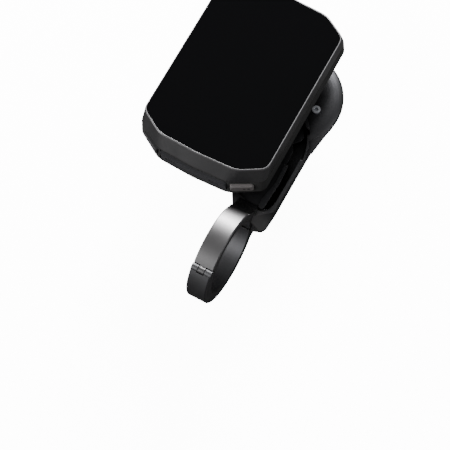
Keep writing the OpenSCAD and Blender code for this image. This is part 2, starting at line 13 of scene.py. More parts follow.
import bmesh
import bpy
from mathutils import Matrix, Vector


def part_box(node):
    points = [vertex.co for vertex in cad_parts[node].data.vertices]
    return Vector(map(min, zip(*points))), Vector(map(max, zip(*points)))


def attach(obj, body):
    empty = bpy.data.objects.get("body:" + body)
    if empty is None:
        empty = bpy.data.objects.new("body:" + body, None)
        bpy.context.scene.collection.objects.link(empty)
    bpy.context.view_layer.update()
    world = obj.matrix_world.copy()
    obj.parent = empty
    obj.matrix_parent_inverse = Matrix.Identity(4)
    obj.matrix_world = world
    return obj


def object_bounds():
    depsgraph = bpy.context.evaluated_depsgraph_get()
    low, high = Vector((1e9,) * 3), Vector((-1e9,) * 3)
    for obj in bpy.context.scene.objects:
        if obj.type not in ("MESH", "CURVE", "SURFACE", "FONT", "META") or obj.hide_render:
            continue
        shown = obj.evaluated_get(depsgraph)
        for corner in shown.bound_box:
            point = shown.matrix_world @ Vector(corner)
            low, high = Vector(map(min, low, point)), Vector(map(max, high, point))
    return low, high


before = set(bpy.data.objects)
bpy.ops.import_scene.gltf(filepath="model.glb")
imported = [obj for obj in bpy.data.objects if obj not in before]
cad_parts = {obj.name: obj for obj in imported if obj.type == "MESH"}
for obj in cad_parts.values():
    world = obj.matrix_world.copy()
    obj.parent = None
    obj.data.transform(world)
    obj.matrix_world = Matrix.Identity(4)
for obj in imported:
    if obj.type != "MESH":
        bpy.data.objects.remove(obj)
CAD_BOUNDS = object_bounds()

LOG = logging.getLogger("cycling_computer")
MM = 0.001
Colour = tuple[float, float, float]
Outline = list[tuple[float, float]]
COAT_ROUGHNESS = 0.15
LIT_RING_FADE = 4 * MM
FACE_DEPTH = 0.02 * MM
SHARP_ANGLE = math.radians(40)


# ---------------------------------------------------------------------------
# Shader graphs
# ---------------------------------------------------------------------------
class Graph:
    """A thin wrapper that adds and links the nodes of one shader tree."""

    def __init__(self, tree: bpy.types.NodeTree) -> None:
        """Start on an empty tree.

        Args:
            tree: The node tree to fill.
        """
        self.tree = tree

    def add(self, kind: str, **values: object) -> bpy.types.Node:
        """Add a node and set its unlinked inputs.

        Args:
            kind: The node's type, such as ShaderNodeTexNoise.
            **values: Input names with underscores for spaces, or properties.

        Returns:
            The new node.
        """
        node = self.tree.nodes.new(kind)
        for key, value in values.items():
            label = key.replace("_", " ")
            if label in node.inputs:
                node.inputs[label].default_value = value
            else:
                setattr(node, key, value)
        return node

    def link(self, source: bpy.types.NodeSocket, target: bpy.types.NodeSocket) -> None:
        """Join an output to an input."""
        self.tree.links.new(source, target)

    def math(self, operation: str, *terms: object) -> bpy.types.NodeSocket:
        """Add a math node.

        Args:
            operation: The node's operation, such as MULTIPLY.
            *terms: Numbers or sockets for its inputs, in order.

        Returns:
            The node's output socket.
        """
        node = self.tree.nodes.new("ShaderNodeMath")
        node.operation = operation
        for index, term in enumerate(terms):
            if isinstance(term, bpy.types.NodeSocket):
                self.link(term, node.inputs[index])
            else:
                node.inputs[index].default_value = term
        return node.outputs[0]

    def blend(self, factor: bpy.types.NodeSocket, low: object,
              high: object) -> bpy.types.NodeSocket:
        """Mix two colours.

        Args:
            factor: The mask that chooses between them.
            low: The colour, or the socket of the colour, where the mask is 0.
            high: The colour, or the socket of the colour, where the mask is 1.

        Returns:
            The colour socket.
        """
        node = self.tree.nodes.new("ShaderNodeMix")
        node.data_type = "RGBA"
        self.link(factor, node.inputs["Factor"])
        for name, value in (("A", low), ("B", high)):
            socket = next(s for s in node.inputs if s.name == name and s.type == "RGBA")
            if isinstance(value, bpy.types.NodeSocket):
                self.link(value, socket)
            else:
                socket.default_value = (*value, 1.0)
        return next(s for s in node.outputs if s.type == "RGBA")


def new_group(name: str, inputs: dict[str, float],
              outputs: list[str]) -> tuple[bpy.types.NodeTree, Graph]:
    """Make an empty shader group with float sockets and one vector input.

    Args:
        name: The group's name.
        inputs: Input names and their usual values.
        outputs: Names of the float outputs.

    Returns:
        The group's tree and the graph that fills it.
    """
    tree = bpy.data.node_groups.new(name, "ShaderNodeTree")
    tree.interface.new_socket("Vector", in_out="INPUT", socket_type="NodeSocketVector")
    for label, value in inputs.items():
        socket = tree.interface.new_socket(label, in_out="INPUT", socket_type="NodeSocketFloat")
        socket.default_value = value
    for label in outputs:
        tree.interface.new_socket(label, in_out="OUTPUT", socket_type="NodeSocketFloat")
    return tree, Graph(tree)


class SharedEffects:
    """The shader groups that more than one finish places."""

    def __init__(self) -> None:
        """Build each group once."""
        self.grain = self._grain()
        self.handling = self._handling()
        self.edge_wear = self._edge_wear()
        self.pocket_shade = self._pocket_shade()

    @staticmethod
    def _grain() -> bpy.types.NodeTree:
        """Build the fine grain of blasted metal and eroded moulds.

        Returns:
            A group with Size in metres, and Height and Tone outputs.
        """
        tree, graph = new_group("fine_grain", {"Size": 0.0003}, ["Height", "Tone"])
        entry = graph.add("NodeGroupInput")
        leave = graph.add("NodeGroupOutput")
        scale = graph.math("DIVIDE", 1.0, entry.outputs["Size"])
        pits = graph.add("ShaderNodeTexVoronoi", feature="SMOOTH_F1", Smoothness=0.6)
        graph.link(entry.outputs["Vector"], pits.inputs["Vector"])
        graph.link(scale, pits.inputs["Scale"])
        cloud = graph.add("ShaderNodeTexNoise", Detail=4.0, Roughness=0.6)
        graph.link(entry.outputs["Vector"], cloud.inputs["Vector"])
        graph.link(graph.math("MULTIPLY", scale, 0.45), cloud.inputs["Scale"])
        graph.link(
            graph.math("ADD", graph.math("MULTIPLY", pits.outputs["Distance"], 0.6),
                       graph.math("MULTIPLY", cloud.outputs["Fac"], 0.4)),
            leave.inputs["Height"],
        )
        graph.link(cloud.outputs["Fac"], leave.inputs["Tone"])
        return tree

    @staticmethod
    def _handling() -> bpy.types.NodeTree:
        """Build broad smears and patches left by hands and road dust.

        Returns:
            A group with Size in metres, and a Mask output.
        """
        tree, graph = new_group("handling", {"Size": 0.012}, ["Mask"])
        entry = graph.add("NodeGroupInput")
        leave = graph.add("NodeGroupOutput")
        patches = graph.add("ShaderNodeTexNoise", Detail=6.0, Roughness=0.55, Distortion=0.8)
        graph.link(entry.outputs["Vector"], patches.inputs["Vector"])
        graph.link(graph.math("DIVIDE", 1.0, entry.outputs["Size"]), patches.inputs["Scale"])
        spread = graph.add("ShaderNodeMapRange", From_Min=0.38, From_Max=0.68)
        graph.link(patches.outputs["Fac"], spread.inputs["Value"])
        graph.link(spread.outputs["Result"], leave.inputs["Mask"])
        return tree

    @staticmethod
    def _edge_wear() -> bpy.types.NodeTree:
        """Build the rub along outside edges, broken up by noise.

        Returns:
            A group with Reach in metres, and a Mask output.
        """
        tree, graph = new_group("edge_wear", {"Reach": 0.0004, "Amount": 1.0}, ["Mask"])
        entry = graph.add("NodeGroupInput")
        leave = graph.add("NodeGroupOutput")
        soft = graph.add("ShaderNodeBevel", samples=4)
        graph.link(entry.outputs["Reach"], soft.inputs["Radius"])
        true = graph.add("ShaderNodeNewGeometry")
        turn = graph.add("ShaderNodeVectorMath", operation="DOT_PRODUCT")
        graph.link(soft.outputs["Normal"], turn.inputs[0])
        graph.link(true.outputs["Normal"], turn.inputs[1])
        edge = graph.add("ShaderNodeMapRange", From_Min=0.985, From_Max=0.86)
        graph.link(turn.outputs["Value"], edge.inputs["Value"])
        rub = graph.add("ShaderNodeTexNoise", Scale=900.0, Detail=3.0)
        graph.link(entry.outputs["Vector"], rub.inputs["Vector"])
        broken = graph.add("ShaderNodeMapRange", From_Min=0.35, From_Max=0.62)
        graph.link(rub.outputs["Fac"], broken.inputs["Value"])
        mask = graph.math("MULTIPLY", edge.outputs["Result"], broken.outputs["Result"])
        graph.link(graph.math("MULTIPLY", mask, entry.outputs["Amount"]), leave.inputs["Mask"])
        return tree

    @staticmethod
    def _pocket_shade() -> bpy.types.NodeTree:
        """Find the bottoms of slots and pockets by ambient occlusion, for painted shade in the base
        colour.

        Returns:
            A group with Reach in metres, and a Mask output that is 1 at the bottom of a slot or
            pocket.
        """
        tree, graph = new_group("pocket_shade", {"Reach": 0.006}, ["Mask"])
        entry = graph.add("NodeGroupInput")
        leave = graph.add("NodeGroupOutput")
        open_sky = graph.add("ShaderNodeAmbientOcclusion", samples=8, only_local=True)
        graph.link(entry.outputs["Reach"], open_sky.inputs["Distance"])
        depth = graph.add("ShaderNodeMapRange", From_Min=0.85, From_Max=0.3)
        graph.link(open_sky.outputs["AO"], depth.inputs["Value"])
        graph.link(depth.outputs["Result"], leave.inputs["Mask"])
        return tree


EFFECTS = SharedEffects()


class Coating(Enum):
    """How a surface is finished, with its metallic value and its index of refraction."""

    METAL = (1.0, 1.45)
    PAINT = (0.0, 1.5)
    PLASTIC = (0.0, 1.46)
    RUBBER = (0.0, 1.4)
    GLASS = (0.0, 1.5)


@dataclass(frozen=True)
class Finish:
    """A surface with fine grain, handling marks, rubbed edges, painted shade in its slots and
    pockets and, where asked, painted light close to the bar's axis.

    Attributes:
        name: The material's name.
        colour: Its base colour.
        coating: Its kind of surface.
        roughness: Its mean roughness.
        grain_size: Size of one grain.
        grain_depth: Height of the grain in the bump.
        tone_shift: How far the grain lightens and darkens the colour.
        smear: How far handling changes the roughness.
        rounding: Radius that outside edges shade as.
        wear_colour: Colour of rubbed edges.
        wear: Strength of the rub.
        sheen: Weight of the soft bloom on rubber.
        specular: Strength of the reflection.
        coat: Weight of a clear coat.
        lit_ring_reach: Distance from the bar's axis over which the core colour holds, as painted
            light on the clamp ring.
        lit_ring_colour: Colour close to the bar's axis, a paler colour that paints the light on the
            clamp ring.
        shade_reach: Depth over which a slot or pocket darkens with painted shade.
        shade_tone: Share of the colour that the painted shade leaves at the bottom of a pocket.
    """

    name: str
    colour: Colour
    coating: Coating
    roughness: float
    grain_size: float = 0.3 * MM
    grain_depth: float = 0.01 * MM
    tone_shift: float = 0.12
    smear: float = 0.05
    rounding: float = 0.15 * MM
    wear_colour: Colour = (0.3, 0.3, 0.31)
    wear: float = 0.2
    sheen: float = 0.0
    specular: float = 0.5
    coat: float = 0.0
    lit_ring_reach: float = 0.0
    lit_ring_colour: Colour = (0.1, 0.1, 0.1)
    shade_reach: float = 4.0 * MM
    shade_tone: float = 0.35

    def material(self) -> bpy.types.Material:
        """Build the material, or give back the one that is already built.

        Returns:
            The material.
        """
        made = bpy.data.materials.get(self.name)
        if made is not None:
            return made
        mat = bpy.data.materials.new(self.name)
        mat.use_nodes = True
        graph = Graph(mat.node_tree)
        mat.node_tree.nodes.clear()
        out = graph.add("ShaderNodeOutputMaterial")
        metallic, ior = self.coating.value
        shader = graph.add("ShaderNodeBsdfPrincipled", Metallic=metallic, IOR=ior,
                           Specular_IOR_Level=self.specular, Sheen_Weight=self.sheen,
                           Coat_Weight=self.coat, Coat_Roughness=COAT_ROUGHNESS)
        graph.link(shader.outputs[0], out.inputs["Surface"])
        place = graph.add("ShaderNodeTexCoord")
        grain = self._use(graph, EFFECTS.grain, place, Size=self.grain_size)
        hands = self._use(graph, EFFECTS.handling, place)
        wear = self._use(graph, EFFECTS.edge_wear, place,
                         Reach=self.rounding * 2, Amount=self.wear)
        light = tuple(min(1.0, c * (1 + self.tone_shift)) for c in self.colour)
        dark = tuple(c * (1 - self.tone_shift) for c in self.colour)
        body = graph.blend(grain.outputs["Tone"], dark, light)
        # Painted light: the clamp ring close to the bar's axis is made paler than the arm.
        if self.lit_ring_reach > 0:
            body = graph.blend(self._lit_ring(graph, place), body, self.lit_ring_colour)
        # Painted shade: slots and pockets darken as the ambient occlusion grows.
        painted_shade = self._use(graph, EFFECTS.pocket_shade, place, Reach=self.shade_reach)
        shade_colour = tuple(c * self.shade_tone for c in self.colour)
        body = graph.blend(painted_shade.outputs["Mask"], body, shade_colour)
        worn = graph.blend(wear.outputs["Mask"], body, self.wear_colour)
        graph.link(worn, shader.inputs["Base Color"])
        smears = graph.math("MULTIPLY", hands.outputs["Mask"], self.smear)
        rough = graph.math("ADD", smears, self.roughness)
        rough = graph.math("ADD", rough, graph.math("MULTIPLY", grain.outputs["Tone"], self.smear))
        graph.link(rough, shader.inputs["Roughness"])
        soft = graph.add("ShaderNodeBevel", samples=6, Radius=self.rounding)
        bump = graph.add("ShaderNodeBump", Strength=1.0, Distance=self.grain_depth)
        graph.link(grain.outputs["Height"], bump.inputs["Height"])
        graph.link(soft.outputs["Normal"], bump.inputs["Normal"])
        graph.link(bump.outputs["Normal"], shader.inputs["Normal"])
        return mat

    def _lit_ring(self, graph: Graph, place: bpy.types.Node) -> bpy.types.NodeSocket:
        """Find the clamp ring, which is painted paler than the arm that grows from it: painted
        light on the ring, while the arm keeps the darker colour of its shade.

        Args:
            graph: The material's graph.
            place: The texture coordinate node.

        Returns:
            A mask that is 1 close to the bar's axis and 0 further out.
        """
        split = graph.add("ShaderNodeSeparateXYZ")
        graph.link(place.outputs["Object"], split.inputs[0])
        squares = [graph.math("POWER", split.outputs[axis], 2.0) for axis in ("Y", "Z")]
        away = graph.math("SQRT", graph.math("ADD", *squares))
        edge = graph.add("ShaderNodeMapRange", From_Min=self.lit_ring_reach + LIT_RING_FADE,
                         From_Max=self.lit_ring_reach)
        graph.link(away, edge.inputs["Value"])
        return edge.outputs["Result"]

    @staticmethod
    def _use(graph: Graph, tree: bpy.types.NodeTree, place: bpy.types.Node,
             **values: float) -> bpy.types.Node:
        """Place a shared group.

        Args:
            graph: The material's graph.
            tree: The group.
            place: The texture coordinate node.
            **values: The group's own inputs.

        Returns:
            The group node.
        """
        node = graph.add("ShaderNodeGroup", node_tree=tree)
        for label, value in values.items():
            node.inputs[label].default_value = value
        graph.link(place.outputs["Object"], node.inputs["Vector"])
        return node


BLASTED = Finish("blasted_anodising", (0.11, 0.11, 0.115), Coating.METAL, 0.42, 0.22 * MM,
                 0.012 * MM)
# One anodised finish: its paler colour round the bar's axis is painted light on the clamp ring, and
# its slots and pockets are painted almost black as shade.
ARM_COAT = Finish("arm_anodising", (0.05, 0.05, 0.053), Coating.METAL, 0.38, 0.2 * MM, 0.006 * MM,
                  lit_ring_reach=19.6 * MM, lit_ring_colour=(0.14, 0.138, 0.14),
                  shade_reach=5.0 * MM, shade_tone=0.02)
FRAME_PAINT = Finish("frame_paint", (0.14, 0.138, 0.142), Coating.METAL, 0.3, 0.15 * MM, 0.002 * MM,
                     wear=0.1)
# The lip round the glass is real; its paint, paler than the frame paint, is a painted highlight
# along it.
LIP_HIGHLIGHT_PAINT = Finish("lip_highlight_paint", (0.2, 0.2, 0.205), Coating.PAINT, 0.25, 0.15 * MM, 0.001 * MM,
                   wear=0.1)
CASE_PLASTIC = Finish("case_plastic", (0.006, 0.006, 0.0065), Coating.PLASTIC, 0.5, 0.3 * MM,
                      0.01 * MM, specular=0.3)
SOCKET_PLASTIC = Finish("socket_plastic", (0.018, 0.018, 0.018), Coating.PLASTIC, 0.48,
                        0.35 * MM, 0.012 * MM)
KEY_DARK = Finish("key_dark", (0.03, 0.03, 0.032), Coating.PLASTIC, 0.35, 0.2 * MM, 0.004 * MM)
KEY_LIGHT = Finish("key_light", (0.13, 0.12, 0.12), Coating.PLASTIC, 0.35, 0.2 * MM, 0.004 * MM)
KEY_MARK = Finish("key_mark", (0.008, 0.008, 0.008), Coating.PLASTIC, 0.45)
PALE_MARK = Finish("pale_mark", (0.35, 0.35, 0.36), Coating.PLASTIC, 0.45)
PORT_RUBBER = Finish("port_rubber", (0.02, 0.02, 0.021), Coating.RUBBER, 0.6, 0.25 * MM, 0.01 * MM,
                     sheen=0.05, specular=0.35)
SEAL_RUBBER = Finish("seal_rubber", (0.012, 0.012, 0.012), Coating.RUBBER, 0.55, sheen=0.1)
STEEL = Finish("stainless_steel", (0.55, 0.55, 0.57), Coating.METAL, 0.28, 0.2 * MM, 0.003 * MM)
# The bracket screws are real steel; their bright bluish-white colour is a painted glint.
GLINT_TINTED_STEEL = Finish("glint_tinted_steel", (0.85, 0.88, 0.97), Coating.METAL, 0.45, 0.2 * MM, 0.005 * MM)
DARK_STEEL = Finish("blackened_steel", (0.08, 0.08, 0.085), Coating.METAL, 0.35, 0.2 * MM,
                    0.003 * MM)
BRASS = Finish("turned_brass", (0.7, 0.5, 0.22), Coating.METAL, 0.3, 0.2 * MM, 0.003 * MM)
GLASS = Finish("cover_glass", (0.0015, 0.0015, 0.0018), Coating.GLASS, 0.06, 0.5 * MM, 0.0002 * MM,
               smear=0.012, wear=0.0, specular=0.1)
BOARD = Finish("solder_mask", (0.01, 0.09, 0.04), Coating.PAINT, 0.35)
FOIL = Finish("pouch_foil", (0.6, 0.6, 0.62), Coating.METAL, 0.35)
CERAMIC = Finish("fired_ceramic", (0.6, 0.56, 0.45), Coating.PAINT, 0.5)
FLEX = Finish("polyimide_film", (0.5, 0.22, 0.03), Coating.PLASTIC, 0.3)


# ---------------------------------------------------------------------------
# Mesh tools
# ---------------------------------------------------------------------------
def node_points(name: str) -> list[Vector]:
    """Give the corners of a carried-over node's mesh.

    Args:
        name: The node's name.

    Returns:
        Its vertices, in metres.
    """
    return [v.co.copy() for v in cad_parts[name].data.vertices]


def face_centre(name: str, outward: Vector) -> Vector:
    """Find the middle of a node's furthest face in a direction.

    Args:
        name: The node's name.
        outward: The direction that counts as out.

    Returns:
        The middle of that face's box.
    """
    points = node_points(name)
    reach = max(p.dot(outward) for p in points)
    front = [p for p in points if p.dot(outward) > reach - FACE_DEPTH]
    return Vector([(min(p[i] for p in front) + max(p[i] for p in front)) / 2 for i in range(3)])


def add_piece(name: str, mesh: bmesh.types.BMesh, body: str, finish: "Finish",
              smooth: bool = True) -> bpy.types.Object:
    """Turn a finished mesh into a piece that rides on a body.

    Args:
        name: The piece's name.
        mesh: Its closed mesh, which is freed.
        body: The body that carries it.
        finish: Its finish.
        smooth: Whether its faces shade smoothly.

    Returns:
        The new object.
    """
    bmesh.ops.recalc_face_normals(mesh, faces=mesh.faces)
    data = bpy.data.meshes.new(name)
    mesh.to_mesh(data)
    mesh.free()
    if smooth:
        data.polygons.foreach_set("use_smooth", [True] * len(data.polygons))
        data.set_sharp_from_angle(angle=SHARP_ANGLE)
    data.materials.append(finish.material())
    piece = bpy.data.objects.new(name, data)
    bpy.context.collection.objects.link(piece)
    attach(piece, body)
    LOG.info("built %s on %s", name, body)
    return piece


def add_loops(mesh: bmesh.types.BMesh, rings: list[list[Vector]], closed: bool) -> None:
    """Skin a row of equal rings.

    Args:
        mesh: The mesh to add to.
        rings: Rings of the same number of points.
        closed: Whether the last ring joins the first; otherwise the ends are capped.
    """
    made = [[mesh.verts.new(p) for p in ring] for ring in rings]
    count = len(rings[0])
    pairs = list(zip(made, made[1:])) + ([(made[-1], made[0])] if closed else [])
    for first, second in pairs:
        for i in range(count):
            j = (i + 1) % count
            mesh.faces.new((first[i], first[j], second[j], second[i]))
    if not closed:
        mesh.faces.new(made[0])
        mesh.faces.new(list(reversed(made[-1])))


@dataclass(frozen=True)
class Plane:
    """A flat place to draw on.

    Attributes:
        origin: Its middle.
        across: Unit vector to the right.
        up: Unit vector upwards.
        out: Unit vector away from the surface.
    """

    origin: Vector
    across: Vector
    up: Vector
    out: Vector

    def at(self, x: float, y: float, height: float) -> Vector:
        """Give the point at x, y on the plane, raised by height."""
        return self.origin + self.across * x + self.up * y + self.out * height

    def pad(self, mesh: bmesh.types.BMesh, outline: Outline, depth: float, height: float,
            bevel: float) -> None:
        """Add a low raised pad with a bevelled top.

        Args:
            mesh: The mesh to add to.
            outline: Its corners on the plane, anticlockwise.
            depth: How far it is sunk below the surface.
            height: How far it stands proud.
            bevel: Width of the bevel round its top.
        """
        mid = (sum(p[0] for p in outline) / len(outline), sum(p[1] for p in outline) / len(outline))
        size = max(math.dist(p, mid) for p in outline)
        shrink = 1 - bevel / size
        inner = [(mid[0] + (x - mid[0]) * shrink, mid[1] + (y - mid[1]) * shrink)
                 for x, y in outline]
        add_loops(mesh, [[self.at(x, y, -depth) for x, y in outline],
                         [self.at(x, y, height - bevel / 2) for x, y in outline],
                         [self.at(x, y, height) for x, y in inner]], closed=False)


# ---------------------------------------------------------------------------
# Sub-assemblies
# ---------------------------------------------------------------------------
@dataclass
class SubAssembly:
    """A group of carried-over nodes with the small detail that they carry.

    Attributes:
        dress: The finish of each node.
    """

    dress: dict[str, Finish] = field(default_factory=dict)

    def dress_nodes(self) -> None:
        """Give every node of the group its finish."""
        for name, finish in self.dress.items():
            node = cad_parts[name]
            node.data.materials.clear()
            node.data.materials.append(finish.material())
            LOG.info("dressed %s in %s", name, finish.name)

    def detail(self) -> None:
        """Add the group's own detail; a group without any adds nothing."""

    def build(self) -> None:
        """Dress the nodes and add the detail."""
        self.dress_nodes()
        self.detail()


@dataclass
class BarMount(SubAssembly):
    """The clamp half, the arm and the bayonet socket.

    Attributes:
        dress: The finish of each node.
    """

    dress: dict[str, Finish] = field(default_factory=lambda: {
        "mount_arm": ARM_COAT, "bayonet_socket": SOCKET_PLASTIC, "socket_screws": STEEL,
        "bracket_screws": GLINT_TINTED_STEEL, "hinge_pin": STEEL, "thread_insert": BRASS})


@dataclass
class ClampStrap(SubAssembly):
    """The hinged strap with its captive screw.

    Attributes:
        dress: The finish of each node.
        tilt: Slope of the split below the horizontal, in degrees.
        shank_r: Radius of the screw's shank.
        crest: Height of the thread's crest above the shank.
        pitch: Pitch of the thread.
        thread_len: Length of thread from the tip.
        root_sink: How far the thread's root is sunk in the shank.
        root_half: Half the width of the thread at its root.
        crest_half: Half its width at the crest.
        tip_gap: Distance of the first turn from the tip.
        steps: Points in one turn.
    """

    dress: dict[str, Finish] = field(default_factory=lambda: {
        "clamp_strap": BLASTED, "clamp_screw": STEEL})
    tilt: float = 33.2
    shank_r: float = 2.0 * MM
    crest: float = 0.1 * MM
    pitch: float = 0.7 * MM
    thread_len: float = 5.4 * MM
    root_sink: float = 0.06 * MM
    root_half: float = 0.24 * MM
    crest_half: float = 0.04 * MM
    tip_gap: float = 0.3 * MM
    steps: int = 24

    def detail(self) -> None:
        """Add the rolled thread on the screw's shank."""
        axis = Vector((0, math.sin(math.radians(self.tilt)), math.cos(math.radians(self.tilt))))
        side = Vector((0, axis.z, -axis.y))
        across = Vector((1, 0, 0))
        points = node_points("clamp_screw")
        level = [(min(p.dot(d) for p in points) + max(p.dot(d) for p in points)) / 2
                 for d in (across, side)]
        tip = max(p.dot(axis) for p in points)
        rings = []
        for i in range(int(self.thread_len / self.pitch * self.steps)):
            angle = 2 * math.pi * i / self.steps
            along = tip - self.tip_gap - self.pitch * i / self.steps
            out = across * math.cos(angle) + side * math.sin(angle)
            centre = across * level[0] + side * level[1] + axis * along
            fade = min(1.0, i / self.steps)
            low = centre + out * (self.shank_r - self.root_sink)
            high = centre + out * (self.shank_r + self.crest * fade)
            rings.append([low + axis * self.root_half, low - axis * self.root_half,
                          high - axis * self.crest_half, high + axis * self.crest_half])
        mesh = bmesh.new()
        add_loops(mesh, rings, closed=False)
        add_piece("clamp_screw_thread", mesh, "strap", STEEL)


@dataclass
class DisplayStack(SubAssembly):
    """The cover glass, what lies under it and the frame round it.

    Attributes:
        dress: The finish of each node.
        bead_w: Width of the polished lip round the glass.
        bead_h: Its height.
        bead_gap: Its distance from the edge of the glass.
        bead_sink: How far it is sunk in the frame.
        level_slack: Height over which glass counts as its flat top.
        merge: Distance under which two corners of the glass are one.
    """

    dress: dict[str, Finish] = field(default_factory=lambda: {
        "cover_glass": GLASS, "glass_gasket": SEAL_RUBBER, "display_panel": GLASS,
        "display_flex": FLEX, "front_frame": FRAME_PAINT, "case_seal": SEAL_RUBBER})
    bead_w: float = 0.3 * MM
    bead_h: float = 0.12 * MM
    bead_gap: float = 0.14 * MM
    bead_sink: float = 0.05 * MM
    level_slack: float = 0.01 * MM
    merge: float = 0.05 * MM

    def outline(self) -> list[Vector]:
        """Trace the top edge of the glass.

        Returns:
            Its corners, anticlockwise seen from above.
        """
        points = node_points("cover_glass")
        top = max(p.z for p in points)
        flat = [p for p in points if p.z > top - self.level_slack]
        mid = sum(flat, Vector()) / len(flat)
        ordered: list[Vector] = []
        for point in sorted(flat, key=lambda p: math.atan2(p.y - mid.y, p.x - mid.x)):
            if not ordered or (point - ordered[-1]).length > self.merge:
                ordered.append(point)
        return ordered

    def detail(self) -> None:
        """Add the polished lip of the frame round the glass, whose paler paint is a painted
        highlight.
        """
        edge = self.outline()
        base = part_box("front_frame")[1][2]
        count = len(edge)
        rings = []
        for i, point in enumerate(edge):
            along = (edge[(i + 1) % count] - edge[i - 1]).normalized()
            out = Vector((along.y, -along.x, 0))
            start = Vector((point.x, point.y, base)) + out * self.bead_gap
            lift = Vector((0, 0, 1))
            rings.append([start - lift * self.bead_sink,
                          start + out * self.bead_w - lift * self.bead_sink,
                          start + out * self.bead_w * 0.95 + lift * self.bead_h * 0.55,
                          start + out * self.bead_w * 0.7 + lift * self.bead_h,
                          start + out * self.bead_w * 0.3 + lift * self.bead_h,
                          start + out * self.bead_w * 0.05 + lift * self.bead_h * 0.55])
        mesh = bmesh.new()
        add_loops(mesh, rings, closed=True)
        add_piece("glass_lip", mesh, "computer", LIP_HIGHLIGHT_PAINT)


@dataclass
class RearHousing(SubAssembly):
    """The rear case with the board, the battery and the lock plate.

    Attributes:
        dress: The finish of each node.
    """

    dress: dict[str, Finish] = field(default_factory=lambda: {
        "rear_case": CASE_PLASTIC, "main_board": BOARD, "rf_shield": STEEL, "battery": FOIL,
        "usb_socket": STEEL, "gnss_antenna": CERAMIC, "buzzer": CASE_PLASTIC,
        "case_screws": DARK_STEEL, "quarter_turn_plate": SOCKET_PLASTIC, "plate_screws": STEEL,
        "vent_plug": SEAL_RUBBER,
        "lap_switch": STEEL, "start_switch": STEEL, "power_switch": STEEL})


@dataclass
class Keys(SubAssembly):
    """The three buttons with their seals and moulded marks.

    Attributes:
        dress: The finish of each node.
        chamfer: Turn of the two rear keys about the vertical, in degrees.
        proud: How far a mark stands above its key.
        sunk: How far it reaches into the key.
        bevel: Width of the bevel round its top.
    """

    dress: dict[str, Finish] = field(default_factory=lambda: {
        "lap_button": KEY_DARK, "start_button": KEY_LIGHT, "power_button": KEY_DARK,
        "lap_seal": SEAL_RUBBER, "start_seal": SEAL_RUBBER, "power_seal": SEAL_RUBBER})
    chamfer: float = 29.5
    proud: float = 0.05 * MM
    sunk: float = 0.1 * MM
    bevel: float = 0.04 * MM

    def key_plane(self, name: str, out: Vector) -> Plane:
        """Find the face of a key.

        Args:
            name: The key's node.
            out: The direction that it faces.

        Returns:
            A plane on its face, with up along +Z.
        """
        up = Vector((0, 0, 1))
        return Plane(face_centre(name, out), up.cross(out), up, out)

    def mark(self, name: str, plane: Plane, pads: list[Outline], body: str, slot: str,
             finish: Finish) -> None:
        """Add one raised mark.

        Args:
            name: The piece's name.
            plane: The face that it stands on.
            pads: Outlines of its parts.
            body: The body that carries it.
            slot: Not used.
            finish: Its finish.
        """
        mesh = bmesh.new()
        for outline in pads:
            plane.pad(mesh, outline, self.sunk, self.proud, self.bevel)
        add_piece(name, mesh, body, finish, smooth=False)

    @staticmethod
    def arc(radius: float, width: float, start: float, sweep: float,
            steps: int = 10) -> list[Outline]:
        """Split a ring's arc into short blocks.

        Args:
            radius: Middle radius of the ring.
            width: Its width.
            start: Where it starts, in degrees.
            sweep: How far it runs, in degrees.
            steps: How many blocks.

        Returns:
            The outlines of the blocks.
        """
        blocks = []
        for i in range(steps):
            turns = [math.radians(start + sweep * k / steps) for k in (i, i + 1)]
            inner, outer = radius - width / 2, radius + width / 2
            corners = [(inner, turns[0]), (outer, turns[0]), (outer, turns[1]), (inner, turns[1])]
            blocks.append([(r * math.cos(t), r * math.sin(t)) for r, t in corners])
        return blocks

    def detail(self) -> None:
        """Add a triangle and a square, a lap loop and a power sign."""
        turn = math.radians(self.chamfer)
        right = self.key_plane("start_button", Vector((math.sin(turn), -math.cos(turn), 0)))
        left = self.key_plane("lap_button", Vector((-math.sin(turn), -math.cos(turn), 0)))
        side = self.key_plane("power_button", Vector((-1, 0, 0)))
        play = [(x * MM, y * MM) for x, y in ((0.5, -0.6), (1.5, 0.0), (0.5, 0.6))]
        stop = [(x * MM, y * MM) for x, y in ((2.1, -0.5), (3.1, -0.5), (3.1, 0.5), (2.1, 0.5))]
        self.mark("start_key_marks", right, [play, stop], "start_key", "button_light", KEY_MARK)
        loop = self.arc(0.8 * MM, 0.22 * MM, 60, 290)
        tip = [(x * MM, y * MM) for x, y in ((0.15, 0.95), (0.75, 0.35), (0.9, 1.05))]
        self.mark("lap_key_mark", left, loop + [tip], "lap_key", "button_dark", PALE_MARK)
        ring = self.arc(0.75 * MM, 0.2 * MM, 120, 300)
        bar = [(x * MM, y * MM) for x, y in ((-0.1, 0.25), (0.1, 0.25), (0.1, 1.1), (-0.1, 1.1))]
        self.mark("power_key_mark", side, ring + [bar], "power_key", "button_dark", PALE_MARK)


